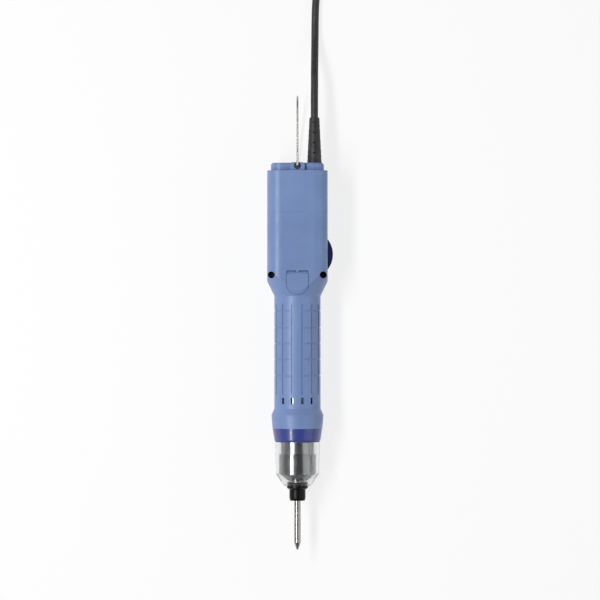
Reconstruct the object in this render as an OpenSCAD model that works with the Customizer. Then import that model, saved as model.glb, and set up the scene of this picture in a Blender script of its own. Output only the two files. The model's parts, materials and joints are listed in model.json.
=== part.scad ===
// Electric torque screwdriver, lying on its back, with its cord coiled beyond its tail.
// Every piece of the tool is built along +Z from the sleeve's front end (station 0), with its front
// face towards -Y, and is then laid on the table by lay(): stations run along +Y, the front faces up.

/* [Handle] */
// Radius of the round grip
grip_r = 17.55; // [17.4:0.05:18]
// Half of the housing's width
housing_half_w = 22.9; // [22.5:0.1:24]
// Half of the housing's depth, which is also the collar's radius and the axis height
axis_h = 19.75; // [19.5:0.05:20.5]
// Radius of the housing's upright corners
corner_r = 10.5; // [9:0.5:11.5]
// Thickness of the moulded walls
wall = 2.25; // [2.1:0.05:2.3]
// Number of pad columns round the grip
pad_columns = 14; // [10:2:16]
// Depth of the grooves between the pads
groove_depth = 0.5; // [0.3:0.1:0.7]

/* [Torque setting] */
// Outer radius of the torque nut
nut_r = 14; // [13.8:0.1:14.2]
// Radius of the steel nose tube that the nut turns on
nose_r = 12.75; // [12.5:0.05:12.8]
// Number of flutes in the nut's bevel
nut_flutes = 12; // [8:1:16]
// Turns of the torque spring
torque_turns = 6; // [4:1:7]

/* [Bit and chuck] */
// Radius of the bit's shaft
bit_r = 2.5; // [2.4:0.05:2.6]
// Length of bit that stands out of the sleeve
bit_out = 37.2; // [30:0.2:60]
// Radius of the sleeve's body
sleeve_r = 6.15; // [6.1:0.05:6.4]

/* [Planetary gears] */
// Gear module
gear_module = 0.5; // [0.5:0.01:0.5]
// Teeth of each sun
sun_teeth = 12; // [12:6:12]
// Teeth of each planet
planet_teeth = 18; // [18:6:18]
// Metal taken off each flank for backlash
flank_play = 0.035; // [0.02:0.005:0.05]

/* [Cord] */
// Diameter of the cord
cord_d = 5.6; // [5:0.1:6]
// Mean radius of the coil
coil_mean_r = 32; // [30:1:34]
// Turns side by side in the coil, and layers of them
coil_stack = 3; // [3:1:3]
// Distance between neighbouring turns
turn_pitch = 5.8; // [5.8:0.1:6]

/* [Hidden] */
$fn = 96;

// --- stations along the tool, from the sleeve's front end -----------------------------------
rest_s = 190;          // station that lies at the row's origin
sleeve_back_s = 14;
nut_front_s = 15.5;
nut_bevel_s = 20;
nut_back_s = 35.3;
nose_front_s = 26.7;
ring_front_s = 44.7;
collar_s = 54.9;
collar_wide_s = 65.1;
grip_s = 69.9;
shoulder_s = 155.4;
seam_s = 219.3;
cap_s = 250.5;
cap_top_s = 256.3;
bail_s = 254;
relief_top_s = 291;
rocker_s = 187;
screw_s = 171.4;
flap_hinge_s = 172.8;

// --- handle ----------------------------------------------------------------------------------
shoulder_slope = 2.064;                 // length of taper for each millimetre of radius
corner_reach = sqrt(2) * (axis_h - corner_r) + corner_r + 4;
collar_front_r = 18.95;
case_r = 15.1;                          // gear case and motor can
groove_w = 1.5;
rib_w = 1.5;
pad_step = 360 / pad_columns;
pad_s = [81, 149];
band_s = [95.1, 107.5, 119.5, 131.5, 144.3];
vent_s = [73.6, 78.4];
vent_w = 2.2;
screw_x = [-19.7, 19.5];
screw_head_r = 2.6;
flap_half_w = 8.3;
flap_arc_s = 165;
flap_proud = 0.45;
flap_floor = 1.15;
flap_gap = 0.2;
hook_r = 1.5;
hook_x = [1.4, 7.8];
rocker_x = 17;
rocker_arc_x = 8;
rocker_arc_r = 18.9;
rocker_end_r = 13;
rocker_half_w = 5;
rocker_pin_r = 1.2;
running = 0.05;                         // radial clearance of a running fit

// --- cap, bail and relief --------------------------------------------------------------------
cap_half_w = 20.1;
cap_half_d = 14.3;
cap_corner_r = 8;
tab_half_w = 5.5;
tab_y = [14.6, 16.8];                   // inner and outer face of the tabs that carry the bail
eyelet_r = 2.2;
tab_top_s = 256.6;
tab_corner_r = 2;
wire_r = 0.8;
foot_bend_r = 1;                        // bend of the bail's feet
bail_top_r = 10.17;
bail_top_s = 296.9;
cap_screw_x = -14.5;
cap_screw_y = [-7.5, 7.5];
relief_x = 12.9;
relief_base_r = 5.66;
relief_tip_r = 3.95;
relief_tiers = 9;

// --- gears -----------------------------------------------------------------------------------
ring_teeth = sun_teeth + 2 * planet_teeth;
pressure_angle = 20;
addendum = 0.8 * gear_module;
dedendum = 1.15 * gear_module;
planet_orbit = gear_module * (sun_teeth + planet_teeth) / 2;
ring_gear_r = 13.6;
planet_pin_r = 1.5;
planets = 3;

// --- spindle, clutch and motor ---------------------------------------------------------------
spindle_r = 4.9;
nozzle_r = 4.2;                         // spindle's slim front end
shank_r = 2.2;
ball_r = 1.2;
ball_s = 6.9;
hex_across = 7;
bore_r = 9.6;                           // bore of the nose tube
seat_s = 20.5;
rod_r = 1;
rod_bore_r = 1.3;
motor_s = 78;
motor_end_s = 118;
shaft_r = 3;

// --- cord: points of its run from the relief to the coil, on the table, in row millimetres ---
cord_run = [
    [12.9, 101, 19.75], [12.9, 110, 19.7], [12.9, 118, 19.1], [13, 126, 17.6], [13, 134, 15.1],
    [13.1, 142, 11.7], [13.2, 150, 8.2], [13.3, 158, 5.3], [13.4, 166, 3.4], [13.5, 175, 2.8],
    [13.8, 186, 2.8], [14.6, 198, 2.8], [15.8, 209, 2.8], [17.2, 220, 2.8], [18.2, 231, 2.8]
];
// --- and of its end, off the top of the coil and into the plug --------------------------------
cord_tail = [
    [-12.2, 221.5, 15.4], [-3.5, 224.9, 17.4], [3.6, 231.2, 19.4], [8, 239.8, 20.4],
    [8.9, 249.4, 20.8], [6.2, 258.7, 21.6], [0.6, 265.8, 22.8], [-5.4, 269.3, 24.4], [-11, 270, 25.2]
];
cord_sides = 8;
coil_at = [-19, 247, 0];
plug_at = [-11, 270, 25.2];
coil_half = turn_pitch * (coil_stack - 1) / 2 + cord_d / 2;
coil_h = turn_pitch * (coil_stack - 1) + cord_d;

// ============================== helpers ======================================================
// Lays a piece of the tool on the table.
module lay() translate([0, -rest_s, axis_h]) rotate([-90, 0, 0]) children();

// A solid of revolution from points [radius, station].
module turned(profile) rotate_extrude() polygon(profile);

// A round bar between two stations.
module bar(r, s0, s1) translate([0, 0, s0]) cylinder(r = r, h = s1 - s0);

// A tube between two stations.
module tube(r_out, r_in, s0, s1)
    turned([[r_in, s0], [r_out, s0], [r_out, s1], [r_in, s1]]);

// A box from one corner to the other.
module block(low, high) translate(low) cube(high - low);

// Copies of a piece at equal angles round the axis.
module around(count, first = 0) for (i = [0:count - 1]) rotate(first + i * 360 / count) children();

// A rectangle with round corners.
module round_rect(half_w, half_d, r) {
    square([2 * (half_w - r), 2 * half_d], center = true);
    square([2 * half_w, 2 * (half_d - r)], center = true);
    for (x = [-1, 1], y = [-1, 1]) translate([x * (half_w - r), y * (half_d - r)]) circle(r);
}

// An upright block with round corners between two stations.
module round_block(half_w, half_d, r, s0, s1)
    translate([0, 0, s0]) linear_extrude(s1 - s0) round_rect(half_w, half_d, r);

// A hexagonal bar, its distance across flats given.
module hex_bar(across, s0, s1)
    translate([0, 0, s0]) cylinder(r = across / sqrt(3), h = s1 - s0, $fn = 6);

// ============================== handle mouldings =============================================
// Outer form of the handle from the collar to the seam, grown by some wall thickness.
module handle_form(grow) {
    far_r = grip_r + corner_reach;
    intersection() {
        union() {
            bar(axis_h + 4, collar_s - 1, shoulder_s - 1);
            round_block(housing_half_w + grow, axis_h + grow, corner_r + grow, shoulder_s - 1, seam_s);
        }
        turned([
            [0, collar_s], [collar_front_r + grow, collar_s], [axis_h + grow, collar_wide_s],
            [grip_r + grow, grip_s], [grip_r + grow, shoulder_s],
            [far_r + grow, shoulder_s + corner_reach * shoulder_slope],
            [far_r + grow, seam_s], [0, seam_s]
        ]);
    }
}

// The grooves between the pads of the grip, and the bands across them.
module pad_grooves() {
    around(pad_columns, pad_step / 2)
        block([-groove_w / 2, -grip_r - 1, pad_s[0]], [groove_w / 2, groove_depth - grip_r, pad_s[1]]);
    difference() {
        for (s = band_s) tube(grip_r + 1, grip_r - groove_depth + 0.1, s - 0.45, s + 0.45);
        around(2) linear_extrude(shoulder_s)
            polygon([[0, 0], [-30 * tan(pad_step / 2), -30], [30 * tan(pad_step / 2), -30]]);
    }
}

// Outline of the service flap in the housing's front face, grown by a gap.
module flap_outline(gap) {
    rotate([90, 0, 0]) linear_extrude(30) {
        translate([0, flap_arc_s]) circle(flap_half_w + gap);
        translate([-flap_half_w - gap, flap_arc_s])
            square([2 * (flap_half_w + gap), flap_hinge_s - flap_arc_s - 0.3 + gap]);
    }
}

// A bar round the flap's hinge line, for its hooks.
module hook_bar(r, x0, x1) translate([x0, -axis_h, flap_hinge_s]) rotate([0, 90, 0]) cylinder(r = r, h = x1 - x0);

// What the service flap needs cut from the front shell.
module flap_pocket() {
    difference() {
        flap_outline(flap_gap);
        handle_form(-flap_floor);
    }
    for (side = [-1, 1]) scale([side, 1, 1]) {
        block([1.1, -axis_h - 1, flap_hinge_s - 1.7], [8.1, 2 * wall - axis_h, flap_hinge_s + 1.8]);
    }
}

// Window for the rocker, through the right-hand wall.
module rocker_window() translate([rocker_x, 0, rocker_s]) rotate([90, 0, 0])
    intersection() {
        cylinder(r = rocker_end_r + 0.15, h = 2 * rocker_half_w + 0.4, center = true);
        translate([rocker_end_r / 2, 0, 0]) cube([rocker_end_r, 40, 20], center = true);
    }

// Both halves of the handle before they are parted.
module handle_shells() {
    difference() {
        union() {
            difference() {
                handle_form(0);
                difference() {
                    handle_form(-wall);
                    bar(40, collar_s - 1, collar_s + 2.5);
                }
            }
            // ribs that hold the gear case and the motor
            tube(axis_h - 1.5, case_r, 60, 60 + rib_w);
            for (s = [82, 99, 114]) tube(grip_r - wall + 0.3, case_r, s, s + rib_w);
            // ribs that hold the sensor mount
            for (s = [138.5, 143]) tube(grip_r - wall + 0.3, case_r - 0.6, s, s + rib_w);
            // screw posts in the lower corners
            intersection() {
                for (x = screw_x) {
                    post(x, screw_s, 3.6, -axis_h, -6.6);
                    post(x, screw_s, 2.2, -6.6, 6.6);
                    post(x, screw_s, 3.6, 6.6, axis_h);
                }
                handle_form(0);
            }
            // rocker posts and board posts
            intersection() {
                union() {
                    post(rocker_x, rocker_s, 2.8, -axis_h, -rocker_half_w - 0.4);
                    post(rocker_x, rocker_s, 2.8, rocker_half_w + 0.4, axis_h);
                    for (x = [-13, 13], s = [176, 213]) post(x, s, 2.2, 9.6, axis_h);
                }
                handle_form(0);
            }
        }
        bar(nose_r, collar_s - 1, collar_s + 3);
        pad_grooves();
        around(2) for (i = [-1.5:1:1.5]) rotate(i * pad_step)
            block([-vent_w / 2, -25, vent_s[0]], [vent_w / 2, -case_r + 0.5, vent_s[1]]);
        for (x = screw_x) {
            post(x, screw_s, screw_head_r, -30, -8);
            post(x, screw_s, 1.15, -30, 12);
        }
        post(rocker_x, rocker_s, rocker_pin_r, -8, 8);
        rocker_window();
        flap_pocket();
    }
}

// A post from front to back at a place on the housing's face.
module post(x, s, r, y0, y1) translate([x, y0, s]) rotate([-90, 0, 0]) cylinder(r = r, h = y1 - y0);

module front_shell() {
    color("#6f8fc4") lay() intersection() {
        handle_shells();
        block([-50, -50, 0], [50, 0, 300]);
    }
}

module rear_shell() {
    color("#6384bb") lay() intersection() {
        handle_shells();
        block([-50, 0, 0], [50, 50, 300]);
    }
}

// Upper part of the housing, with the tabs that carry the bail in front of and behind the cap.
module upper_cover() {
    color("#7492c6") lay() difference() {
        union() {
            round_block(housing_half_w, axis_h, corner_r, seam_s, cap_s);
            for (turn = [0, 180]) rotate(turn) {
                block([-tab_half_w, tab_y[0], cap_s - 1], [tab_half_w, tab_y[1], tab_top_s - tab_corner_r]);
                block([tab_corner_r - tab_half_w, tab_y[0], tab_top_s - 2 * tab_corner_r],
                    [tab_half_w - tab_corner_r, tab_y[1], tab_top_s]);
                for (x = [tab_corner_r - tab_half_w, tab_half_w - tab_corner_r])
                    post(x, tab_top_s - tab_corner_r, tab_corner_r, tab_y[0], tab_y[1]);
            }
        }
        round_block(housing_half_w - wall, axis_h - wall, corner_r - wall, seam_s - 1, cap_s - wall);
        round_block(cap_half_w - 2, cap_half_d - 2, cap_corner_r - 2, seam_s, cap_s + 1);
        post(0, bail_s, eyelet_r, -30, 30);
    }
}

// Cap that closes the housing's tail.
module top_cap() {
    recess = 0.9;
    color("#7896c9") lay() difference() {
        union() {
            round_block(cap_half_w, cap_half_d, cap_corner_r, cap_s, cap_top_s - recess);
            round_block(cap_half_w - recess, cap_half_d - recess, cap_corner_r - recess,
                cap_top_s - recess, cap_top_s);
            round_block(cap_half_w - 2, cap_half_d - 2, cap_corner_r - 2, cap_s - 4, cap_s);
        }
        round_block(cap_half_w - 4, cap_half_d - 4, cap_corner_r - 4, cap_s - 5, cap_top_s - 2.3);
        translate([relief_x, 0, 0]) bar(relief_base_r, cap_s - 5, cap_top_s + 1);
        for (y = cap_screw_y) translate([cap_screw_x, y, 0]) {
            bar(1.9, cap_top_s - 1.2, cap_top_s + 1);
            bar(1, cap_s - 5, cap_top_s + 1);
        }
    }
}

// Tongue-shaped flap that hooks into two slots and swings out about them.
module service_flap() {
    color("#7a98cb") lay() {
        difference() {
            intersection() {
                handle_form(flap_proud);
                flap_outline(0);
            }
            handle_form(0.1 - flap_floor);
        }
        for (side = [-1, 1]) scale([side, 1, 1]) intersection() {
            hook_bar(hook_r, hook_x[0], hook_x[1]);
            block([0, 0.8 - axis_h, 0], [20, 0, 300]);
        }
    }
}

// Forward and reverse rocker in the right-hand side of the housing.
module fr_rocker() {
    skin = 2.4;
    color("#1d2c63") lay() translate([rocker_x, 0, rocker_s]) rotate([90, 0, 0]) {
        difference() {
            union() {
                intersection() {
                    cylinder(r = rocker_end_r, h = 2 * rocker_half_w, center = true);
                    translate([rocker_arc_x - rocker_x, 0, 0])
                        cylinder(r = rocker_arc_r, h = 2 * rocker_half_w, center = true);
                    translate([rocker_end_r - 1, 0, 0])
                        cube([2 * rocker_end_r, 40, 2 * rocker_half_w], center = true);
                }
                cylinder(r = 3, h = 2 * rocker_half_w, center = true);
                translate([-4.5, 0, 0]) cube([7, 2, 4], center = true);
            }
            // hollow behind the face, on both sides of the hub's web
            difference() {
                intersection() {
                    cylinder(r = rocker_end_r - skin, h = 2 * (rocker_half_w - skin), center = true);
                    translate([rocker_arc_x - rocker_x, 0, 0])
                        cylinder(r = rocker_arc_r - skin, h = 30, center = true);
                }
                cylinder(r = 3, h = 30, center = true);
                translate([2, 0, 0]) cube([12, 2, 30], center = true);
                translate([-8, 0, 0]) cube([8, 2, 4], center = true);
            }
            cylinder(r = rocker_pin_r + running, h = 30, center = true);
        }
    }
}

module rocker_pin() {
    color("silver") lay() post(rocker_x, rocker_s, rocker_pin_r, -8, 8);
}

// Switch that the rocker's tail moves.
module fr_switch() {
    color("#202225") lay() difference() {
        block([4.5, -5, 181.5], [11, 8, 192.5]);
        block([8.6, -2.6, 185.1], [12, 2.6, 188.9]);
    }
}

// Two screws that draw the rear shell onto the front shell.
module housing_screws() {
    color("#2a2a2c") lay() for (x = screw_x) difference() {
        union() {
            post(x, screw_s, 2.4, -9.9, -8);
            post(x, screw_s, 1.15, -8, 12);
        }
        post(x, screw_s, 1.1, -10.5, -9);
    }
}

// Two screws that hold the cap.
module cap_screws() {
    color("#8a8d90") lay() for (y = cap_screw_y) translate([cap_screw_x, y, 0]) difference() {
        union() {
            bar(1.85, cap_top_s - 1.2, cap_top_s - 0.1);
            bar(1, cap_s - 8, cap_top_s - 1.2);
        }
        bar(0.8, cap_top_s - 0.8, cap_top_s + 1);
    }
}

// ============================== bail and cord relief =========================================
// Wire bail: two feet in the eyelets, tight bends, and legs that lean in towards a round top.
// Its centre line is half of [front offset, station, direction of the outer side], and its mirror.
bail_sides = 10;
bail_foot_y = tab_y[1] + 0.9;
bail_rise = bail_top_s - bail_s - foot_bend_r;
bail_lean = acos((bail_top_r - foot_bend_r) / norm([bail_foot_y, bail_rise]))
    - atan2(bail_rise, bail_foot_y);

function bail_arc(centre, r, from, to, steps) = [
    for (k = [0:steps]) let (a = from + (to - from) * k / steps)
        [centre[0] + r * cos(a), centre[1] + r * sin(a), a]
];

module bail() {
    half = concat(
        [[tab_y[0] + 0.2, bail_s, -90]],
        bail_arc([bail_foot_y, bail_s + foot_bend_r], foot_bend_r, -90, bail_lean, 6),
        bail_arc([0, bail_top_s], bail_top_r, bail_lean, 90, 10)
    );
    n = len(half);
    line = concat(half, [for (i = [n - 2:-1:0]) [-half[i][0], half[i][1], 180 - half[i][2]]]);
    points = [
        for (p = line, k = [0:bail_sides - 1]) let (b = 360 * (k + 0.5) / bail_sides)
            [wire_r * sin(b), p[0] + wire_r * cos(b) * cos(p[2]), p[1] + wire_r * cos(b) * sin(p[2])]
    ];
    color("#b9b8b0") lay() swept(points, len(line), bail_sides);
}

// Steel eyelets that line the holes in the two tabs.
module bail_eyelets() {
    hole_r = wire_r + running;
    color("#3a3d42") lay() for (side = [0, 180]) rotate(side)
        translate([0, 0, bail_s]) rotate([-90, 0, 0]) rotate_extrude() polygon([
            [hole_r, tab_y[0]], [eyelet_r, tab_y[0]], [eyelet_r, tab_y[1]], [2.7, tab_y[1]],
            [2.4, tab_y[1] + 0.4], [hole_r, tab_y[1] + 0.4]
        ]);
}

// Ribbed rubber relief where the cord leaves the cap: tapering tiers with a slot at each joint.
module cord_relief() {
    tier_h = (relief_top_s - cap_top_s) / relief_tiers;
    taper = (relief_base_r - relief_tip_r) / relief_tiers;
    slot = [2.2, 1.1];
    step = 0.3;
    color("#1c1c1e") lay() translate([relief_x, 0, 0]) difference() {
        turned(concat(
            [[0, cap_top_s - 3], [relief_base_r, cap_top_s - 3], [relief_base_r, cap_top_s]],
            [for (i = [0:relief_tiers - 1], end = [0, 1]) [
                relief_base_r - 0.1 - taper * i - step * end,
                cap_top_s + (i + (end == 0 ? 0.12 : 1)) * tier_h
            ]],
            [[0, relief_top_s]]
        ));
        for (i = [1:relief_tiers - 1], side = [0, 180]) rotate((i % 2) * 90 + side)
            translate([0, -cord_d / 2 - 3.2, cap_top_s + (i + 0.06) * tier_h])
                cube([slot[0], 6, slot[1]], center = true);
    }
}

// ============================== nose =========================================================
// Dark-blue ring between the collar and the clear cover.
module colour_ring() {
    color("#2f3f8f") lay() turned([
        [nose_r, ring_front_s], [16.6, ring_front_s], [17.3, ring_front_s + 0.5],
        [17.6, ring_front_s + 1.6], [18.9, collar_s], [nose_r, collar_s]
    ]);
}

// Clear cover over the torque nut.
module clear_cover() {
    color([0.85, 0.88, 0.9, 0.35]) lay() turned([
        [8.6, 11.4], [10.56, 11.4], [16.5, 20.5], [17.1, 44.6], [15.4, 44.6], [14.9, 20.4],
        [9.2, 12.8], [8.6, 12.8]
    ]);
}

// Torque nut with a fluted bevel, turned by hand against the torque spring.
module torque_nut() {
    color("#8f9396") lay() difference() {
        turned([
            [spindle_r + 0.6, nut_front_s], [8.2, nut_front_s], [nut_r, nut_bevel_s],
            [nut_r, nut_back_s - 0.4], [nut_r - 0.4, nut_back_s], [nose_r + running, nut_back_s],
            [nose_r + running, seat_s], [spindle_r + 0.6, seat_s]
        ]);
        around(nut_flutes, 180 / nut_flutes)
            translate([0, -8.6, nut_front_s - 0.8]) rotate([52, 0, 0]) cylinder(r = 1.5, h = 8.6);
    }
}

// Steel gear case with the nose tube that carries the torque nut.
module gear_case() {
    color("#a8abad") lay() turned([
        [bore_r, nose_front_s], [nose_r - 0.5, nose_front_s], [nose_r, nose_front_s + 0.5],
        [nose_r, collar_s + 2.5], [case_r, collar_s + 2.5], [case_r, motor_s], [ring_gear_r, motor_s],
        [ring_gear_r, 58.6], [11.2, 58.6], [11.2, 56.4], [bore_r, 56.4]
    ]);
}

// Seat that the torque nut pushes onto the spring.
module spring_seat() {
    color("#c2a86a") lay() turned([
        [5.9, seat_s], [bore_r - running, seat_s], [bore_r - running, seat_s + 2],
        [6.5, seat_s + 2], [6.5, seat_s + 5.5], [5.9, seat_s + 5.5]
    ]);
}

// Bronze bush in the spring seat, in which the spindle turns.
module seat_bush() {
    color("#b98d4d") lay() tube(5.9, spindle_r + running, seat_s, seat_s + 5.5);
}

// A helical spring, swept as a closed band of rings.
function spring_ring(angle, mean_r, r, s, sides) = [
    for (k = [0:sides - 1]) let (b = 360 * k / sides, out = mean_r + r * cos(b))
        [out * cos(angle), out * sin(angle), s + r * sin(b)]
];

module helix(mean_r, r, s0, s1, turns, steps = 18, sides = 6) {
    count = turns * steps;
    points = [for (i = [0:count]) each spring_ring(
        360 * i / steps, mean_r, r, s0 + r + (s1 - s0 - 2 * r) * i / count, sides)];
    swept(points, count + 1, sides);
}

// Joins rings of points, one after another, into one closed solid.
module swept(points, rings, sides) {
    side_faces = [
        for (i = [0:rings - 2], k = [0:sides - 1]) let (a = i * sides + k, b = i * sides + (k + 1) % sides)
            [a, b, b + sides, a + sides]
    ];
    first = [for (k = [0:sides - 1]) sides - 1 - k];
    last = [for (k = [0:sides - 1]) (rings - 1) * sides + k];
    polyhedron(points, concat(side_faces, [first, last]), convexity = 10);
}

module torque_spring() {
    color("#9a9c9e") lay() helix(7.9, 0.9, seat_s + 2.05, 43.5, torque_turns);
}

// ============================== clutch and spindle ===========================================
clutch_ball_r = 1.6;
clutch_orbit = 6.8;
clutch_ball_s = 48.9;

// Cam ring that rides up over the balls when the set torque is reached.
module clutch_cam() {
    color("#7d8083") lay() difference() {
        bar(bore_r - 0.2, 43.6, 47.9);
        hex_bar(hex_across + 0.2, 43, 49);
        around(planets) translate([clutch_orbit, 0, clutch_ball_s]) sphere(clutch_ball_r + 0.08);
    }
}

module clutch_balls() {
    color("#d0d2d4") lay() around(planets)
        translate([clutch_orbit, 0, clutch_ball_s]) sphere(clutch_ball_r);
}

// Carrier of the second stage, with the clutch's ball seats on its front.
module output_carrier() {
    color("#8b8e91") lay() difference() {
        union() {
            bar(bore_r - 0.2, 48.6, 51.6);
            bar(6.5, 51.6, 57);
            bar(10.9, 57, 59);
            around(planets) translate([planet_orbit, 0, 0]) bar(planet_pin_r, 59, 65.7);
        }
        bar(4.3, 48, 54.5);
        bar(rod_bore_r, 54, 60);
        around(planets) translate([clutch_orbit, 0, 0]) bar(clutch_ball_r, clutch_ball_s, 50.7);
        around(planets) translate([clutch_orbit, 0, clutch_ball_s]) sphere(clutch_ball_r);
    }
}

// Inner race of the bearing that carries the output carrier.
module output_race() {
    color("#caccce") lay() tube(7.6, 6.5, 51.8, 56.2);
}

// Outer races of the three bearings.
module bearing_races() {
    color("#b4b7ba") lay() {
        tube(bore_r, 7.8, 51.8, 56.2);
        tube(6.5, 4.4, motor_s + 0.4, motor_s + 3.6);
        tube(6.5, 4.4, motor_end_s + 0.2, motor_end_s + 3.2);
    }
}

// Spindle: bit socket at the front, hexagon at the back.
module spindle() {
    color("#9b9ea1") lay() difference() {
        union() {
            turned([
                [0, 0.5], [nozzle_r - 0.4, 0.5], [nozzle_r - 0.4, 1], [nozzle_r - 0.7, 1],
                [nozzle_r - 0.7, 1.5], [nozzle_r, 1.5], [nozzle_r, 8.3], [spindle_r, 8.3],
                [spindle_r, 33.2], [6.2, 33.2], [6.2, 34.7], [spindle_r, 34.7], [spindle_r, 37],
                [0, 37]
            ]);
            hex_bar(hex_across, 36, 52);
        }
        bar(shank_r + running, -1, 23);
        around(2) translate([0, 0, ball_s]) rotate([0, 90, 0]) cylinder(r = ball_r, h = 10);
    }
}

// Bit with a cross tip and a groove for the lock balls.
module bit() {
    tip_s = -bit_out;
    color("#a9abad") lay() difference() {
        turned([
            [0, tip_s], [0.6, tip_s], [bit_r, tip_s + 5.2], [bit_r, 0], [shank_r, 0],
            [shank_r, ball_s - 1.1], [1.75, ball_s - 0.6], [1.75, ball_s + 0.6],
            [shank_r, ball_s + 1.1], [shank_r, 22], [1.9, 22.6], [0, 22.6]
        ]);
        around(4, 45) translate([0.35, 0.35, tip_s - 1]) rotate([-9, 9, 0]) cube([4, 4, 8]);
    }
}

// Sleeve that frees the bit when it is pulled forward.
module bit_sleeve() {
    color("#1b1b1d") lay() turned([
        [5.5, 0], [5.6, 0], [sleeve_r, 2], [sleeve_r, 8.4], [8, 9.6], [8, sleeve_back_s - 0.6],
        [7.4, sleeve_back_s], [spindle_r + 0.15, sleeve_back_s], [spindle_r + 0.15, 8.25],
        [nozzle_r + 0.1, 8.25], [nozzle_r + 0.1, 5.6], [5.5, 5.6]
    ]);
}

module sleeve_spring() {
    color("#a5a7a9") lay() helix(4.85, 0.22, 1.65, 5.55, 3, 14);
}

module lock_balls() {
    color("#d4d6d8") lay() around(2) translate([nozzle_r - ball_r, 0, ball_s]) sphere(ball_r - 0.02);
}

// Ring in the spindle's groove that holds the sleeve's spring.
module sleeve_clip() {
    color("#55585b") lay() difference() {
        tube(5.35, nozzle_r - 0.7, 1, 1.5);
        block([-1, -10, 0], [1, 0, 3]);
    }
}

// Rod through the hollow motor shaft, which the spindle pushes back to start the motor.
module push_rod() {
    color("#b0b3b5") lay() {
        bar(rod_r, 52, 148);
        bar(2.2, 125.5, 127);
    }
}

module rod_magnet() {
    color("#4b4e52") lay() tube(2.1, rod_r, 145, 148);
}

module start_spring() {
    color("#9fa1a3") lay() helix(1.75, 0.3, 127.05, 138.95, 8, 12);
}

// Moulding behind the motor that stops the start spring and carries the sensor board.
module sensor_mount() {
    color("#2c2f33") lay() difference() {
        union() {
            bar(case_r, 140, 143);
            bar(4.5, 139, 140);
            block([-6, 5, 143], [6, 7, 156]);
        }
        bar(rod_r + running, 138, 144);
        block([-7, 10.8, 139], [1, 20, 144]);
    }
}

module start_sensor() {
    color("#2e6b3f") lay() {
        block([-5, 3.4, 144], [5, 5, 156]);
        block([-1.6, 2.8, 148.6], [1.6, 3.4, 151.4]);
    }
}

// ============================== planetary gears ==============================================
// Half the angle that an involute tooth takes up at radius r.
function tooth_half_angle(r, teeth, thin) = let (
    pitch_r = gear_module * teeth / 2,
    base_r = pitch_r * cos(pressure_angle),
    at = acos(min(1, base_r / r))
)
    90 / teeth - thin / pitch_r * 180 / PI
        + (tan(pressure_angle) - tan(at)) * 180 / PI - pressure_angle + at;

// Outline of a toothed wheel; thin is what each flank loses.
module toothed(teeth, root_r, tip_r, thin) {
    base_r = gear_module * teeth / 2 * cos(pressure_angle);
    low_r = max(root_r, base_r);
    flank_steps = 3;
    radii = concat(root_r < base_r ? [root_r] : [],
        [for (k = [0:flank_steps]) low_r + (tip_r - low_r) * k / flank_steps]);
    count = len(radii);
    polygon([
        for (i = [0:teeth - 1], side = [-1, 1], k = [0:count - 1]) let (
            r = radii[side < 0 ? k : count - 1 - k],
            angle = 360 * i / teeth + side * tooth_half_angle(max(r, low_r), teeth, thin)
        ) [r * cos(angle), r * sin(angle)]
    ]);
}

module sun(s0, s1) {
    pitch_r = gear_module * sun_teeth / 2;
    translate([0, 0, s0]) linear_extrude(s1 - s0)
        toothed(sun_teeth, pitch_r - dedendum, pitch_r + addendum, flank_play);
}

// One planet of a stage, in mesh with its sun and the ring.
module planet(index, s0, s1) {
    pitch_r = gear_module * planet_teeth / 2;
    rotate(index * 360 / planets) translate([planet_orbit, 0, s0]) difference() {
        linear_extrude(s1 - s0) rotate(180 / planet_teeth)
            toothed(planet_teeth, pitch_r - dedendum, pitch_r + addendum, flank_play);
        translate([0, 0, -1]) cylinder(r = planet_pin_r + running, h = s1 - s0 + 2);
    }
}

module ring_gear() {
    pitch_r = gear_module * ring_teeth / 2;
    color("#74777a") lay() translate([0, 0, 58.6]) difference() {
        cylinder(r = ring_gear_r, h = 17.2);
        translate([0, 0, -1]) linear_extrude(20) rotate(180 / ring_teeth)
            toothed(ring_teeth, pitch_r - addendum, pitch_r + dedendum, -flank_play);
    }
}

// Carrier of the first stage, with the second stage's sun on its front.
module first_carrier() {
    color("#85888b") lay() difference() {
        union() {
            sun(59.3, 66.5);
            bar(10.6, 66.3, 68.3);
            around(planets) translate([planet_orbit, 0, 0]) bar(planet_pin_r, 68.3, 74.6);
        }
        bar(rod_bore_r, 59, 70);
    }
}

module planet_out_1() { color("#bfa15c") lay() planet(0, 59.2, 65.2); }
module planet_out_2() { color("#bfa15c") lay() planet(1, 59.2, 65.2); }
module planet_out_3() { color("#bfa15c") lay() planet(2, 59.2, 65.2); }
module planet_in_1() { color("#c9ad6a") lay() planet(0, 68.5, 74.3); }
module planet_in_2() { color("#c9ad6a") lay() planet(1, 68.5, 74.3); }
module planet_in_3() { color("#c9ad6a") lay() planet(2, 68.5, 74.3); }

// ============================== motor ========================================================
module rotor_shaft() {
    color("#a3a6a9") lay() difference() {
        union() {
            sun(68.6, 76);
            bar(shaft_r, 75.8, 122.5);
        }
        bar(rod_bore_r, 68, 123);
    }
}

module rotor_magnet() {
    color("#5a5d61") lay() tube(7.2, shaft_r, 84, 112);
}

module rotor_races() {
    color("#caccce") lay() {
        tube(4.2, shaft_r, motor_s + 0.4, motor_s + 3.6);
        tube(4.2, shaft_r, motor_end_s + 0.2, motor_end_s + 3.2);
    }
}

// Motor can, with the front bearing's seat and the spigot that enters the gear case.
module motor_can() {
    color("#8d9093") lay() turned([
        [4.5, 76.2], [ring_gear_r, 76.2], [ring_gear_r, motor_s], [case_r, motor_s],
        [case_r, motor_end_s], [14, motor_end_s], [14, motor_s + 3.6], [6.5, motor_s + 3.6],
        [6.5, motor_s + 0.4], [4.5, motor_s + 0.4]
    ]);
}

stator_slots = 6;

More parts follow.
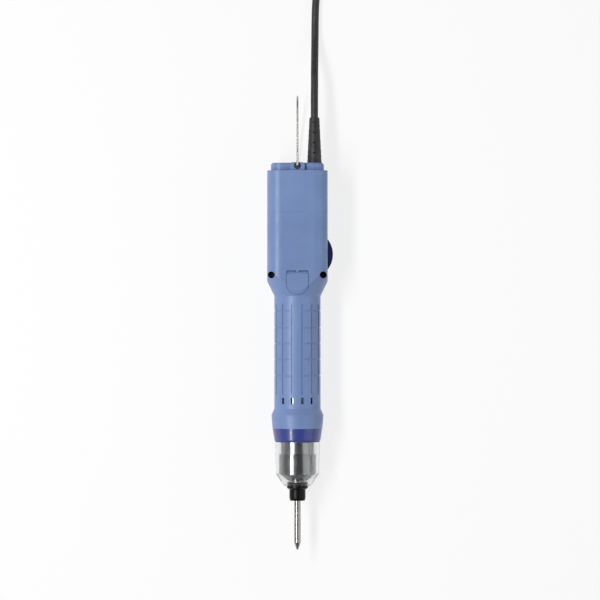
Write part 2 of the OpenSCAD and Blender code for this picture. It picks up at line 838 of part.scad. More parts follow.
module stator_stack() {
    color("#6b6e72") lay() difference() {
        union() {
            tube(14, 11.6, 86, 110);
            around(stator_slots) block([7.9, -1.8, 86], [12, 1.8, 110]);
            around(stator_slots) intersection() {
                tube(8.8, 7.7, 86, 110);
                block([0, -3.2, 86], [10, 3.2, 110]);
            }
        }
        bar(7.7, 80, 120);
    }
}

// One copper winding round each stator tooth.
module stator_coils() {
    color("#b5652c") lay() around(stator_slots) difference() {
        block([8.9, -3.4, 84.4], [11, 3.4, 111.6]);
        block([8, -1.85, 85.9], [12, 1.85, 110.1]);
    }
}

module end_bell() {
    color("#33363a") lay() turned([
        [shaft_r + 0.3, 123.6], [shaft_r + 0.3, 121.2], [6.5, 121.2], [6.5, motor_end_s],
        [case_r, motor_end_s], [case_r, 122.4], [12, 123.6]
    ]);
}

// ============================== electronics ==================================================
module control_board() {
    color("#1f5e39") lay() difference() {
        block([-16.5, 8, 173.5], [16.5, 9.6, 216]);
        for (x = [-13, 13], s = [176, 213]) post(x, s, 1.1, 7, 10);
        post(rocker_x, rocker_s, 3.3, 0, 12);
    }
}

// Power transistors, capacitor, controller chip and the two connectors on the board.
module board_parts() {
    color("#26282b") lay() {
        for (i = [0:2]) block([-15 + 5.4 * i, 6.4, 178], [-10.6 + 5.4 * i, 8, 184]);
        for (i = [0:2]) block([-15 + 5.4 * i, 6.4, 186], [-10.6 + 5.4 * i, 8, 192]);
        block([-5, 6.8, 196], [3, 8, 204]);
        post(8, 202, 4, -3, 8);
        block([-14, 2.5, 208.5], [2, 8, 214]);
        block([-9, 2.5, 174], [3, 8, 177.4]);
    }
}

// Motor leads up the handle, and the cord's cores down to the board.
module lead_wires() {
    color("#a33b33") lay() {
        for (i = [-1:1]) translate([-3 + 2.4 * i, 12.5, 0]) bar(0.85, 123.6, 156);
        for (i = [-1:1]) wire_between([-3 + 2.4 * i, 12.5, 156], [-3 + 2.4 * i, 5.25, 173.6]);
        for (i = [-2:2]) wire_between([-6 + 2.2 * i, 5.25, 214.4], [relief_x + 1.6 * i, 0, 237.6]);
    }
}

module wire_between(from, to) {
    reach = to - from;
    across = norm([reach[0], reach[1]]);
    translate(from) rotate([0, 0, atan2(reach[1], reach[0])]) rotate([0, atan2(across, reach[2]), 0])
        cylinder(r = 0.6, h = norm(reach));
}

// Clamp that grips the cord's jacket inside the upper cover.
module cord_clamp() {
    color("#3b3e42") lay() difference() {
        block([relief_x - 6.5, -5, 238], [relief_x + 6.5, 5, 244]);
        translate([relief_x, 0, 0]) bar(cord_d / 2, 240, 245);
    }
}

// ============================== cord, coil and plug ==========================================
// Point on a smooth curve through the route's points (t counts points).
function route_at(route, t) = let (
    n = len(route) - 1, i = min(floor(t), n - 1), u = t - i,
    p0 = route[max(i - 1, 0)], p1 = route[i], p2 = route[i + 1], p3 = route[min(i + 2, n)]
)
    0.5 * (2 * p1 + (p2 - p0) * u + (2 * p0 - 5 * p1 + 4 * p2 - p3) * u * u
        + (3 * p1 - p0 - 3 * p2 + p3) * u * u * u);

function unit(v) = v / norm(v);

// One ring of the tube's points, square to the route.
function cord_ring(route, t, r) = let (
    n = len(route) - 1,
    along = unit(route_at(route, min(t + 0.02, n)) - route_at(route, max(t - 0.02, 0))),
    side = unit(cross(along, [0.05, 0.02, 1])),
    up = cross(side, along)
) [for (k = [0:cord_sides - 1]) let (a = 360 * (k + 0.5) / cord_sides)
    route_at(route, t) + r * (cos(a) * side + sin(a) * up)];

module cord_tube(route) {
    n = len(route) - 1;
    points = [for (t = [0:n]) each cord_ring(route, t, cord_d / 2)];
    swept(points, n + 1, cord_sides);
}

module cord() {
    color("#1a1a1c") {
        cord_tube(cord_run);
        cord_tube(cord_tail);
    }
}

module cord_coil() {
    color("#202022") translate(coil_at) rotate_extrude()
        translate([coil_mean_r - coil_half, 0]) square([2 * coil_half, coil_h]);
}

// Strap round the coil's turns.
module coil_tie() {
    strap = 1.2;
    color("#35383c") translate(coil_at) rotate(205) difference() {
        block([coil_mean_r - coil_half - strap, -4, 0], [coil_mean_r + coil_half + strap, 4, coil_h + strap]);
        rotate_extrude() translate([coil_mean_r - coil_half, -1]) square([2 * coil_half, coil_h + 1]);
    }
}

// Round plug on top of the coil: boot, shell and sleeve in one turned moulding.
module plug_body() {
    color("#242426") translate(plug_at) rotate([0, -90, 0]) difference() {
        turned([
            [0, 0], [3.4, 0], [4.6, 10], [7, 13], [8, 15], [8, 31], [6.6, 32], [6.6, 41.5], [0, 41.5]
        ]);
        bar(5.9, 33.5, 42);
    }
}

// Six contact pins in the plug.
module plug_contacts() {
    color("#c9b26b") translate(plug_at) rotate([0, -90, 0]) {
        around(5) translate([3.5, 0, 0]) bar(0.55, 33.5, 40);
        bar(0.55, 33.5, 40);
    }
}

front_shell();
rear_shell();
upper_cover();
top_cap();
service_flap();
fr_rocker();
rocker_pin();
fr_switch();
housing_screws();
cap_screws();
bail();
bail_eyelets();
cord_relief();
colour_ring();
clear_cover();
torque_nut();
gear_case();
spring_seat();
seat_bush();
torque_spring();
clutch_cam();
clutch_balls();
output_carrier();
output_race();
planet_out_1();
planet_out_2();
planet_out_3();
first_carrier();
planet_in_1();
planet_in_2();
planet_in_3();
ring_gear();
spindle();
bit();
bit_sleeve();
sleeve_spring();
lock_balls();
sleeve_clip();
push_rod();
rod_magnet();
start_spring();
sensor_mount();
start_sensor();
rotor_shaft();
rotor_magnet();
rotor_races();
bearing_races();
motor_can();
stator_stack();
stator_coils();
end_bell();
control_board();
board_parts();
lead_wires();
cord_clamp();
cord();
cord_coil();
coil_tie();
plug_body();
plug_contacts();
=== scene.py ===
"""Electric torque screwdriver: finishes, cord, strap, bail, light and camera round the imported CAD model."""

import json
import math

import bmesh
import bpy
import numpy as np
from mathutils import Matrix, Vector


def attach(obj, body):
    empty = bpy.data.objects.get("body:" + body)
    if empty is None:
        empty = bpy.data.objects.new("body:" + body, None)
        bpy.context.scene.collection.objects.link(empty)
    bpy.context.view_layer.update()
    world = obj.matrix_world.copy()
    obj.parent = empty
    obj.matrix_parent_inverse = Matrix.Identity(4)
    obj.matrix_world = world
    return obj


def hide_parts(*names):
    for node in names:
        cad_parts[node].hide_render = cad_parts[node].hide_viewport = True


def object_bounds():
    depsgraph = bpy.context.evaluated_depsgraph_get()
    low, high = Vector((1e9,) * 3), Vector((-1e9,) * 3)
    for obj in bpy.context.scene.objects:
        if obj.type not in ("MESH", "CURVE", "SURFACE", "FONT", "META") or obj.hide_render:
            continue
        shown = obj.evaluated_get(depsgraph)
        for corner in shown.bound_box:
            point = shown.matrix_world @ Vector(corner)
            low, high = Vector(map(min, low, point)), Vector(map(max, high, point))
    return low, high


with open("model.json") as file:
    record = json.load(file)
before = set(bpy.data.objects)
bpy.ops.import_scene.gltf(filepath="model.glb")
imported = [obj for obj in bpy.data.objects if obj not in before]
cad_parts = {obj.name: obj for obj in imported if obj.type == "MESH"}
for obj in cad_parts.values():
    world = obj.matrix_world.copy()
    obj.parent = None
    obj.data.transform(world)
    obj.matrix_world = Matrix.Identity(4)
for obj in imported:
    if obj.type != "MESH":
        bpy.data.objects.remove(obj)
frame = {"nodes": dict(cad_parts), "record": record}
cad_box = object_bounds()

MM = 0.001
AXIS_H = 0.01975                 # height of the tool's axis above the table
NODES = frame["nodes"]


# ---------------------------------------------------------------- camera
CAMERA_AIM = (1.94 * MM, -37.6 * MM)
CAMERA_DISTANCE = 3.0            # above the tool's axis
FIELD = 0.456                    # width of the view at the axis
SENSOR = 36.0

lens_data = bpy.data.cameras.new("camera")
lens_data.sensor_width = SENSOR
lens_data.lens = SENSOR * CAMERA_DISTANCE / FIELD
lens_data.clip_end = 20
camera = bpy.data.objects.new("camera", lens_data)
camera.location = (*CAMERA_AIM, AXIS_H + CAMERA_DISTANCE)
bpy.context.scene.collection.objects.link(camera)
bpy.context.scene.camera = camera


# ---------------------------------------------------------------- cord, in millimetres
CORD_D = 5.6
COIL_AT = Vector((-19, 247, 0))
COIL_R = 32.0
TURN_PITCH = 5.8
STACK = 3                        # turns side by side, and layers of them
LINE_STEP = 3.6                  # between the points of the cord's line
HELD_ENDS = (32, 14)             # points at each end that settling leaves in place
# Route out of the relief, down to the table and up to the coil.
CORD_RUN = [
    (12.9, 101, 19.75), (12.9, 110, 19.7), (12.9, 118, 19.1), (13, 126, 17.6), (13, 134, 15.1),
    (13.1, 142, 11.7), (13.2, 150, 8.2), (13.3, 158, 5.3), (13.4, 166, 3.4), (13.5, 175, 2.8),
    (13.8, 186, 2.8), (14.6, 198, 2.8), (15.8, 209, 2.8), (17.2, 220, 2.8), (18.2, 231, 2.8),
]
# Route of the end, off the top of the coil and into the plug.
CORD_TAIL = [
    (-12.2, 221.5, 15.4), (-3.5, 224.9, 17.4), (3.6, 231.2, 19.4), (8, 239.8, 20.4),
    (8.9, 249.4, 20.8), (6.2, 258.7, 21.6), (0.6, 265.8, 22.8), (-5.4, 269.3, 24.4), (-11, 270, 25.2),
]


def smooth_step(t):
    t = min(max(t, 0.0), 1.0)
    return t * t * (3 - 2 * t)


def coil_turns():
    """Turns of the coil, layer by layer, each stepping over to the next in the same sector."""
    sector, step = 80, 9
    first, last = -8, 360 * STACK * STACK - 84
    points = []
    for angle in range(first, last, step):
        turn, within = divmod(angle - 20, 360)
        done = turn + smooth_step((within - (360 - sector)) / sector)
        done = min(max(done, 0), STACK * STACK - 1)
        layer, across = divmod(done, STACK)
        across = min(across, STACK - 1)
        climb = smooth_step(max(done - (layer + 1) * STACK + 1, 0))
        if layer % 2:
            across = STACK - 1 - across
        radius = COIL_R + TURN_PITCH * ((STACK - 1) / 2 - across)
        height = CORD_D / 2 + TURN_PITCH * (layer + climb)
        a = math.radians(angle)
        points.append(COIL_AT + Vector((radius * math.cos(a), radius * math.sin(a), height)))
    return points


def along_curve(points, spacing):
    """Evenly spaced points on the smooth curve through points."""
    fine = []
    for i in range(len(points) - 1):
        p0, p1 = points[max(i - 1, 0)], points[i]
        p2, p3 = points[i + 1], points[min(i + 2, len(points) - 1)]
        for k in range(12):
            u = k / 12
            fine.append(0.5 * (
                2 * p1 + (p2 - p0) * u + (2 * p0 - 5 * p1 + 4 * p2 - p3) * u**2
                + (3 * p1 - p0 - 3 * p2 + p3) * u**3
            ))
    fine.append(points[-1])
    path = np.array(fine)
    reach = np.concatenate([[0], np.cumsum(np.linalg.norm(np.diff(path, axis=0), axis=1))])
    count = int(round(reach[-1] / spacing)) + 1
    even = np.linspace(0, reach[-1], count)
    return np.stack([np.interp(even, reach, path[:, k]) for k in range(3)], axis=1)


def settle(path, held, rounds=60):
    """Pushes apart stretches closer than a diameter, and keeps the rest smooth and on the table."""
    path = path.copy()
    rest = path.copy()
    count = len(path)
    apart = np.abs(np.subtract.outer(np.arange(count), np.arange(count))) > 3
    free = ((np.arange(count) >= held[0]) & (np.arange(count) < count - held[1]))[:, None]
    for _ in range(rounds):
        gap = path[:, None] - path[None]
        distance = np.linalg.norm(gap, axis=2)
        close = apart & (distance < CORD_D)
        push = np.where(close, (CORD_D - distance) / np.maximum(distance, 1e-6), 0)[..., None] * gap
        move = 0.35 * push.sum(axis=1)
        move[1:-1] += 0.12 * (path[:-2] + path[2:] - 2 * path[1:-1])
        move += 0.02 * (rest - path)
        path += np.where(free, move, 0)
        path[:, 2] = np.maximum(path[:, 2], CORD_D / 2)
    return path


def tube_piece(name, points, radius, body, replaces):
    """A round tube along points, both in millimetres, that rides on a body."""
    line = bpy.data.curves.new(name, "CURVE")
    line.dimensions = "3D"
    line.bevel_depth = radius * MM
    line.bevel_resolution = 4
    line.use_fill_caps = True
    spline = line.splines.new("POLY")
    spline.points.add(len(points) - 1)
    for point, place in zip(spline.points, points):
        point.co = (*(c * MM for c in place), 1)
    spline.use_smooth = True
    sweep = bpy.data.objects.new(name + "_line", line)
    piece = bpy.data.objects.new(name, bpy.data.meshes.new_from_object(sweep))
    bpy.data.objects.remove(sweep)
    bpy.data.curves.remove(line)
    bpy.context.scene.collection.objects.link(piece)
    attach(piece, body)
    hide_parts(*replaces)
    return piece


cord_route = [Vector(p) for p in CORD_RUN] + coil_turns() + [Vector(p) for p in CORD_TAIL]
cord_line = settle(along_curve(cord_route, LINE_STEP), HELD_ENDS)
cord = tube_piece("cord_flex", cord_line, CORD_D / 2, "root", ("cord", "cord_coil"))


def mesh_piece(name, mesh_maker, body, replaces):
    """A mesh piece, built by mesh_maker(bm) in millimetres, that rides on a body."""
    bm = bmesh.new()
    mesh_maker(bm)
    bmesh.ops.scale(bm, vec=(MM, MM, MM), verts=bm.verts)
    bmesh.ops.recalc_face_normals(bm, faces=bm.faces)
    mesh = bpy.data.meshes.new(name)
    bm.to_mesh(mesh)
    bm.free()
    mesh.polygons.foreach_set("use_smooth", [True] * len(mesh.polygons))
    piece = bpy.data.objects.new(name, mesh)
    bpy.context.scene.collection.objects.link(piece)
    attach(piece, body)
    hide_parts(*replaces)
    return piece


TIE_ANGLE = 205                  # place of the strap round the coil
TIE_WIDTH = 8.0


def tie_mesh(bm):
    """Woven strap round the coil's section, as a closed band with an inner and an outer face."""
    half = TURN_PITCH * (STACK - 1) / 2 + CORD_D / 2
    top = 2 * half
    inner, outer = COIL_R - half - 0.5, COIL_R + half + 0.5
    corner = 2.6
    outline = []
    corners = [
        (outer - corner, corner + 0.2, -90, 0), (outer - corner, top + 0.5 - corner, 0, 90),
        (inner + corner, top + 0.5 - corner, 90, 180), (inner + corner, corner + 0.2, 180, 270),
    ]
    for x, z, start, end in corners:
        for k in range(7):
            a = math.radians(start + (end - start) * k / 6)
            outline.append((x + corner * math.cos(a), z + corner * math.sin(a)))
    loops = []
    for grow in (0.0, 0.9):
        middle_x, middle_z = (inner + outer) / 2, top / 2
        lowest = 0.02 + 0.2 * (1 - grow)
        loops.append([
            (
                x + grow * math.copysign(min(abs(x - middle_x) / 6, 1), x - middle_x),
                max(z + grow * math.copysign(min(abs(z - middle_z) / 6, 1), z - middle_z), lowest),
            )
            for x, z in outline
        ])
    turn = Matrix.Rotation(math.radians(TIE_ANGLE), 4, "Z")
    rows = [-TIE_WIDTH / 2, -TIE_WIDTH / 2 + 0.5, 0, TIE_WIDTH / 2 - 0.5, TIE_WIDTH / 2]
    grid = {}
    for side, loop in enumerate(loops):
        for r, y in enumerate(rows):
            for k, (x, z) in enumerate(loop):
                grid[side, r, k] = bm.verts.new(COIL_AT + turn @ Vector((x, y, z)))
    count = len(outline)
    for k in range(count):
        n = (k + 1) % count
        for r in range(len(rows) - 1):
            for side in (0, 1):
                bm.faces.new([
                    grid[side, r, k], grid[side, r + 1, k], grid[side, r + 1, n], grid[side, r, n],
                ])
        for r in (0, len(rows) - 1):
            bm.faces.new([grid[0, r, k], grid[1, r, k], grid[1, r, n], grid[0, r, n]])


# ---------------------------------------------------------------- bail and strap
# Wire bail: half of its centre line is a foot, a tight bend and a leg that leans in to a round top.
WIRE_R = 0.8
BAIL_S = 64.0                    # feet, along the tool
FOOT_END, FOOT_BEND_AT, FOOT_BEND_R = 14.8, 17.7, 1.0
BAIL_TOP_S, BAIL_TOP_R = 106.9, 10.17


def bail_line():
    rise = BAIL_TOP_S - BAIL_S - FOOT_BEND_R
    reach = math.hypot(FOOT_BEND_AT, rise)
    lean = math.degrees(math.acos((BAIL_TOP_R - FOOT_BEND_R) / reach) - math.atan2(rise, FOOT_BEND_AT))
    half = [(FOOT_END, BAIL_S)]
    for centre, r, start, end, steps in (
        ((FOOT_BEND_AT, BAIL_S + FOOT_BEND_R), FOOT_BEND_R, -90, lean, 12),
        ((0, BAIL_TOP_S), BAIL_TOP_R, lean, 90, 40),
    ):
        for k in range(steps + 1):
            a = math.radians(start + (end - start) * k / steps)
            half.append((centre[0] + r * math.cos(a), centre[1] + r * math.sin(a)))
    whole = half + [(-out, along) for out, along in half[-2::-1]]
    return [(0, along, AXIS_H / MM + out) for out, along in whole]


bail = tube_piece("bail_smooth", bail_line(), WIRE_R, "bail", ("bail",))
tie = mesh_piece("coil_strap", tie_mesh, "root", ("coil_tie",))


# ---------------------------------------------------------------- node helpers
class Surface:
    """A material under construction: its node tree and its Principled shader."""

    def __init__(self, name):
        self.material = bpy.data.materials.new(name)
        self.material.use_nodes = True
        self.tree = self.material.node_tree
        self.shader = self.tree.nodes["Principled BSDF"]
        self.place = self.add("TexCoord").outputs["Object"]

    def add(self, kind, **inputs):
        """A node of that kind. Settings are given in lower case, sockets by name with _ for a space."""
        node = self.tree.nodes.new("ShaderNode" + kind)
        for key, value in inputs.items():
            if key[0].islower():
                setattr(node, key, value)
        for key, value in inputs.items():
            if not key[0].islower():
                self.feed(node.inputs[key.replace("_", " ")], value)
        return node

    def feed(self, socket, value):
        if isinstance(value, bpy.types.NodeSocket):
            self.tree.links.new(value, socket)
        else:
            socket.default_value = value

    def set(self, **values):
        for key, value in values.items():
            self.feed(self.shader.inputs[key.replace("_", " ")], value)
        return self

    def stretched(self, x, y, z):
        """Object coordinates scaled per axis, in 1/mm."""
        return self.add("Mapping", Vector=self.place, Scale=(x / MM, y / MM, z / MM)).outputs["Vector"]

    def noise(self, per_mm, detail=3.0, vector=None, roughness=0.5):
        vector = vector or self.stretched(per_mm, per_mm, per_mm)
        node = self.add("TexNoise", Vector=vector, Scale=1.0, Detail=detail, Roughness=roughness)
        return node.outputs["Fac"]

    def bands(self, axis, pitch_mm):
        """Waves along an axis, pitch_mm apart."""
        wave = self.add("TexWave", wave_type="BANDS", bands_direction=axis, Vector=self.place,
                        Scale=1 / (pitch_mm * MM) / 20)
        return wave.outputs["Fac"]

    def ranged(self, value, low, high, to_low=0.0, to_high=1.0):
        node = self.add("MapRange", Value=value, From_Min=low, From_Max=high, To_Min=to_low, To_Max=to_high)
        return node.outputs["Result"]

    def blend(self, share, first, second):
        node = self.tree.nodes.new("ShaderNodeMix")
        node.data_type = "RGBA"
        for index, value in ((0, share), (6, first), (7, second)):
            self.feed(node.inputs[index], value)
        return node.outputs[2]

    def math(self, operation, first, second=0.0):
        node = self.tree.nodes.new("ShaderNodeMath")
        node.operation = operation
        self.feed(node.inputs[0], first)
        self.feed(node.inputs[1], second)
        return node.outputs["Value"]

    def edges(self, radius_mm):
        """1 along sharp edges and 0 on open faces, and the normal rounded over them."""
        round_normal = self.add("Bevel", samples=4, Radius=radius_mm * MM).outputs["Normal"]
        face_normal = self.add("NewGeometry").outputs["Normal"]
        along = self.add("VectorMath", operation="DOT_PRODUCT")
        self.feed(along.inputs[0], round_normal)
        self.feed(along.inputs[1], face_normal)
        return self.ranged(along.outputs["Value"], 0.99, 0.86), round_normal

    def bump(self, height, distance_mm, strength=1.0, normal=None):
        node = self.add("Bump", Height=height, Distance=distance_mm * MM, Strength=strength)
        if normal is not None:
            self.feed(node.inputs["Normal"], normal)
        return node.outputs["Normal"]


def linear(hex_colour):
    """A written sRGB colour as linear values."""
    parts = [int(hex_colour[i:i + 2], 16) / 255 for i in (1, 3, 5)]
    return (*[c / 12.92 if c <= 0.04045 else ((c + 0.055) / 1.055) ** 2.4 for c in parts], 1)


def shade(colour, factor):
    return (*[min(c * factor, 1) for c in colour[:3]], 1)


# ---------------------------------------------------------------- finishes
def moulded(name, hex_colour, rough=0.42, edge_wear_and_highlight=0.12):
    """Injection-moulded plastic: spark-eroded grain, faint flow marks, and edges lightened partly by rubbing
    and partly as a painted highlight.
    """
    s = Surface(name)
    colour = linear(hex_colour)
    flow = s.noise(0.035, 4)
    tinted = s.blend(s.ranged(flow, 0.3, 0.7), shade(colour, 0.93), shade(colour, 1.07))
    edge, rounded = s.edges(0.35)
    # Edges lightened towards pale blue-white in noisy patches: partly rubbed wear, partly a painted
    # highlight.
    rubbed_and_highlit_edges = s.math("MULTIPLY", edge, s.ranged(s.noise(0.6, 4), 0.35, 0.7))
    s.set(
        Base_Color=s.blend(s.math("MULTIPLY", rubbed_and_highlit_edges, edge_wear_and_highlight), tinted, linear("#dfe5ef")),
        Roughness=s.ranged(s.noise(0.12, 5), 0.25, 0.75, rough - 0.07, rough + 0.07),
        Normal=s.bump(s.noise(2.6, 2), 0.02, 0.5, rounded),
    )
    return s.material


def polished(name, hex_colour, rough=0.16):
    """Glossy moulded plastic with a faint ripple and fine dust scratches."""
    s = Surface(name)
    colour = linear(hex_colour)
    scratches = s.ranged(s.noise(0.3, 6, s.stretched(4, 0.25, 0.25)), 0.55, 0.8)
    edge, rounded = s.edges(0.3)
    s.set(
        Base_Color=s.blend(s.noise(0.05, 3), shade(colour, 0.94), shade(colour, 1.06)),
        Roughness=s.math("ADD", rough, s.math("MULTIPLY", scratches, 0.16)),
        Normal=s.bump(s.noise(0.25, 3), 0.03, 0.4, rounded),
        Coat_Weight=0.4, Coat_Roughness=0.06,
    )
    return s.material


def turned_metal(name, hex_colour, rough, lines=9.0):
    """Metal turned about the tool's axis: fine rings along its length, a slow stain and a painted highlight
    along its sharp edges.
    """
    s = Surface(name)
    colour = linear(hex_colour)
    rings = s.noise(1, 4, s.stretched(0.05, lines, 0.05), 0.6)
    stain = s.noise(0.12, 4)
    edge, rounded = s.edges(0.25)
    grey = s.blend(s.ranged(stain, 0.3, 0.75), shade(colour, 0.88), shade(colour, 1.12))
    # Painted highlight: along sharp edges the colour goes half-way to a copy 1.5 times lighter.
    s.set(
        Base_Color=s.blend(s.math("MULTIPLY", edge, 0.5), grey, shade(colour, 1.5)),
        Metallic=1.0,
        Roughness=s.ranged(rings, 0.3, 0.7, rough - 0.06, rough + 0.08),
        Normal=s.bump(rings, 0.006, 0.5, rounded),
    )
    return s.material


def dull_metal(name, hex_colour, rough, speckle=0.8, spread=0.15, metallic=1.0):
    """Plated, sintered or hardened metal with a fine even speckle."""
    s = Surface(name)
    colour = linear(hex_colour)
    grain = s.noise(speckle * 3, 4)
    patch = s.noise(0.25, 4)
    s.set(
        Base_Color=s.blend(s.ranged(patch, 0.3, 0.7), shade(colour, 1 - spread), shade(colour, 1 + spread)),
        Metallic=metallic,
        Roughness=s.ranged(grain, 0.3, 0.7, rough - 0.08, rough + 0.1),
        Normal=s.bump(grain, 0.01, 0.5),
    )
    return s.material


def blackened(name, hex_colour, rough=0.38):
    """Black-oxide steel: near black, with edges worn towards bare metal."""
    s = Surface(name)
    colour = linear(hex_colour)
    edge, rounded = s.edges(0.3)
    worn = s.math("MULTIPLY", edge, s.ranged(s.noise(1.2, 5), 0.4, 0.72))
    s.set(
        Base_Color=s.blend(s.math("MULTIPLY", worn, 0.55), colour, linear("#8b8c8f")),
        Metallic=0.85,
        Roughness=s.ranged(s.noise(0.5, 5), 0.3, 0.7, rough - 0.1, rough + 0.08),
        Normal=s.bump(s.noise(3, 3), 0.008, 0.6, rounded),
    )
    return s.material


def rubber(name, hex_colour):
    """Soft black rubber with a fine tooth and a little grey dust."""
    s = Surface(name)
    colour = linear(hex_colour)
    patch = s.ranged(s.noise(0.18, 5), 0.35, 0.8)
    s.set(
        Base_Color=s.blend(s.math("MULTIPLY", patch, 0.25), colour, linear("#5c5d60")),
        Roughness=s.ranged(s.noise(0.7, 4), 0.3, 0.7, 0.44, 0.64),
        Normal=s.bump(s.noise(3.2, 3), 0.02, 0.5),
        Sheen_Weight=0.08, Sheen_Roughness=0.5,
    )
    return s.material


def clear(name):
    """Clear polycarbonate that lets light through to the nut, with a faint moulding haze."""
    s = Surface(name)
    haze = s.ranged(s.noise(0.12, 4), 0.3, 0.8, 0.02, 0.08)
    s.set(
        Base_Color=(0.88, 0.89, 0.9, 1), Roughness=haze, IOR=1.5, Transmission_Weight=1.0,
        Normal=s.bump(s.noise(0.2, 3), 0.02, 0.3),
    )
    path = s.add("LightPath")
    passing = s.add("BsdfTransparent", Color=(0.93, 0.94, 0.95, 1))
    either = s.add("MixShader", Fac=path.outputs["Is Shadow Ray"])
    s.feed(either.inputs[1], s.shader.outputs["BSDF"])
    s.feed(either.inputs[2], passing.outputs["BSDF"])
    s.feed(s.tree.nodes["Material Output"].inputs["Surface"], either.outputs["Shader"])
    return s.material


def woven(name, hex_colour):
    """Strap webbing: two crossed sets of threads, 0.5 mm apart, with painted shade between them and painted
    highlight where they cross.
    """
    s = Surface(name)
    colour = linear(hex_colour)
    threads = []
    for axis in ("X", "Z"):
        threads.append(s.bands(axis, 0.5))
    cloth = s.math("MULTIPLY", *threads)
    # Painted shade and highlight of the weave, lighter where threads cross and darker between them, mixed
    # with random tone from noise.
    weave_shade_and_fuzz = s.math("ADD", s.math("MULTIPLY", cloth, 0.6), s.math("MULTIPLY", s.noise(1.2), 0.4))
    s.set(
        Base_Color=s.blend(weave_shade_and_fuzz, shade(colour, 0.6), shade(colour, 1.7)),
        Roughness=s.ranged(cloth, 0, 1, 0.7, 0.9),
        Sheen_Weight=0.3, Sheen_Roughness=0.4,
        Normal=s.bump(cloth, 0.08, 0.8),
    )
    return s.material


def windings(name, hex_colour):
    """Enamelled copper wire wound side by side, 0.4 mm apart, with painted shade between the turns and
    lighter crests.
    """
    s = Surface(name)
    colour = linear(hex_colour)
    wire = s.bands("Z", 0.4)
    # Painted shade and highlight: the colour drops to about a third between the turns and lightens on their
    # crests.
    s.set(
        Base_Color=s.blend(s.ranged(wire, 0, 0.6), shade(colour, 0.35), shade(colour, 1.15)),
        Metallic=0.9, Roughness=s.ranged(s.noise(1), 0.3, 0.7, 0.22, 0.34), Normal=s.bump(wire, 0.1, 0.8),
    )
    return s.material


def laminated(name, hex_colour):
    """Stacked motor laminations, 0.5 mm each."""
    s = Surface(name)
    colour = linear(hex_colour)
    sheets = s.bands("Y", 0.5)
    s.set(
        Base_Color=s.blend(s.ranged(sheets, 0, 0.5), shade(colour, 0.5), shade(colour, 1.1)),
        Metallic=0.9, Roughness=s.ranged(s.noise(0.8, 5), 0.3, 0.7, 0.35, 0.5),
        Normal=s.bump(sheets, 0.05, 0.7),
    )
    return s.material


def circuit_board(name, hex_colour):
    """Solder mask over copper: paler traces on a fine square grid, with gloss."""
    s = Surface(name)
    colour = linear(hex_colour)
    cells = s.add("TexVoronoi", distance="MANHATTAN", feature="DISTANCE_TO_EDGE", Vector=s.place,
                  Scale=1 / (2.4 * MM))
    traces = s.ranged(cells.outputs["Distance"], 0.05, 0.09)
    s.set(
        Base_Color=s.blend(traces, shade(colour, 1.6), colour),
        Roughness=s.ranged(s.noise(0.4, 4), 0.3, 0.7, 0.18, 0.3), Normal=s.bump(traces, 0.03, 0.5),
        Coat_Weight=0.3, Coat_Roughness=0.1,
    )
    return s.material


FINISHES = {
    "housing_blue": moulded("housing_blue", "#7189b8"),
    "rocker_blue": polished("rocker_blue", "#2c3770"),
    "ring_blue": polished("ring_blue", "#343f88", rough=0.32),
    "clear_plastic": clear("clear_plastic"),
    "nut_steel": turned_metal("nut_steel", "#8f9190", rough=0.2),
    "case_steel": turned_metal("case_steel", "#9a9b9c", rough=0.22),
    "black_oxide": blackened("black_oxide", "#1d1d1f"),
    "screw_black": blackened("screw_black", "#141519", rough=0.45),
    "screw_steel": dull_metal("screw_steel", "#b4b5b6", rough=0.28),
    "bail_wire": dull_metal("bail_wire", "#bdbbb4", rough=0.22, speckle=1.2, spread=0.1),
    "eyelet_metal": dull_metal("eyelet_metal", "#6f747b", rough=0.3),
    "cord_rubber": rubber("cord_rubber", "#1c1c1e"),
    "plug_black": moulded("plug_black", "#1f1f21", rough=0.4, edge_wear_and_highlight=0.06),
    "tie_fabric": woven("tie_fabric", "#2b2d31"),
    "contact_gold": dull_metal("contact_gold", "#e0c176", rough=0.22),
    "bit_steel": turned_metal("bit_steel", "#a8a39f", rough=0.2, lines=14),
    "ball_steel": dull_metal("ball_steel", "#cfd1d3", rough=0.1, spread=0.04),
    "spring_steel": dull_metal("spring_steel", "#9fa1a4", rough=0.28),
    "gear_steel": dull_metal("gear_steel", "#84868a", rough=0.34),
    "planet_brass": dull_metal("planet_brass", "#c9a862", rough=0.36),
    "bush_bronze": dull_metal("bush_bronze", "#b08552", rough=0.42),
    "magnet_grey": dull_metal("magnet_grey", "#5d6064", rough=0.4, metallic=0.6),
    "stator_iron": laminated("stator_iron", "#6b6e72"),
    "copper": windings("copper", "#c9713e"),
    "inner_plastic": moulded("inner_plastic", "#2c2e31", rough=0.5, edge_wear_and_highlight=0.04),
    "board_green": circuit_board("board_green", "#1f6b42"),
    "chip_black": moulded("chip_black", "#1b1c1e", rough=0.45, edge_wear_and_highlight=0.03),
    "wire_red": polished("wire_red", "#a8322c", rough=0.35),
}

for subpart in frame["record"]["subparts"]:
    node = NODES[subpart["node"]]
    node.data.materials.clear()
    node.data.materials.append(FINISHES[subpart["material_slot"]])
cord.data.materials.append(FINISHES["cord_rubber"])
tie.data.materials.append(FINISHES["tie_fabric"])
bail.data.materials.append(FINISHES["bail_wire"])


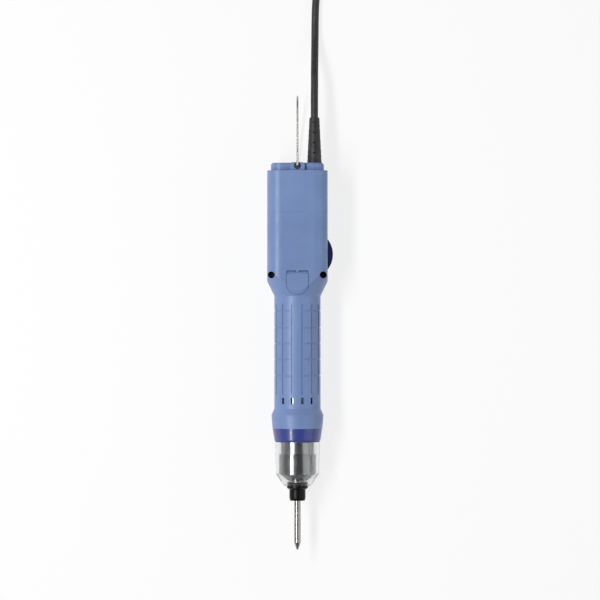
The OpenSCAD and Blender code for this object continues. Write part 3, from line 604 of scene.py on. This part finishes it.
# ---------------------------------------------------------------- stage
def floor_material():
    """White paper: it keeps a faint shadow and shows white to the camera, metal and glass."""
    s = Surface("floor_white")
    s.set(Base_Color=(0.9, 0.9, 0.9, 1), Roughness=1.0, Specular_IOR_Level=0.0)
    path = s.add("LightPath")
    seen = s.math("MAXIMUM", path.outputs["Is Camera Ray"], path.outputs["Is Glossy Ray"])
    seen = s.math("MAXIMUM", seen, path.outputs["Is Transmission Ray"])
    glow = s.add("Emission", Color=(1, 1, 1, 1), Strength=1.0)
    mixed = s.add("MixShader", Fac=s.math("MULTIPLY", seen, 0.8))
    s.feed(mixed.inputs[1], s.shader.outputs["BSDF"])
    s.feed(mixed.inputs[2], glow.outputs["Emission"])
    s.feed(s.tree.nodes["Material Output"].inputs["Surface"], mixed.outputs["Shader"])
    return s.material


def make_floor():
    bm = bmesh.new()
    bmesh.ops.create_grid(bm, x_segments=1, y_segments=1, size=6)
    mesh = bpy.data.meshes.new("floor")
    bm.to_mesh(mesh)
    bm.free()
    floor = bpy.data.objects.new("floor", mesh)
    floor.location = (0, 0, min(cad_box[0][2], 0) - 0.0002)
    mesh.materials.append(floor_material())
    bpy.context.scene.collection.objects.link(floor)


def make_lamp(name, angle, width, length, watts, distance=1.1):
    """A strip light along the tool, leaning angle degrees from overhead towards +X."""
    lamp_data = bpy.data.lights.new(name, "AREA")
    lamp_data.shape = "RECTANGLE"
    lamp_data.size = width
    lamp_data.size_y = length
    lamp_data.energy = watts
    lamp = bpy.data.objects.new(name, lamp_data)
    a = math.radians(angle)
    centre = Vector((0, -0.03, AXIS_H))
    lamp.location = centre + distance * Vector((math.sin(a), 0, math.cos(a)))
    lamp.rotation_euler = (0, a, 0)
    bpy.context.scene.collection.objects.link(lamp)


def make_world():
    """A pale room: white at the horizon, greyer overhead."""
    world = bpy.data.worlds.new("room")
    bpy.context.scene.world = world
    world.use_nodes = True
    tree = world.node_tree
    background = tree.nodes["Background"]
    direction = tree.nodes.new("ShaderNodeTexCoord")
    split = tree.nodes.new("ShaderNodeSeparateXYZ")
    tree.links.new(direction.outputs["Generated"], split.inputs[0])
    ramp = tree.nodes.new("ShaderNodeValToRGB")
    tree.links.new(split.outputs["Z"], ramp.inputs["Fac"])
    tree.links.new(ramp.outputs["Color"], background.inputs["Color"])
    low, high = ramp.color_ramp.elements
    low.position, low.color = 0.1, (1, 1, 1, 1)
    high.position, high.color = 0.95, (0.2, 0.2, 0.21, 1)
    background.inputs["Strength"].default_value = 0.45


make_floor()
make_lamp("key", -32, 0.16, 1.2, 11)
make_lamp("fill", 55, 0.9, 1.2, 3)
make_world()
bpy.context.scene.view_settings.view_transform = "Standard"

bpy.context.view_layer.update()
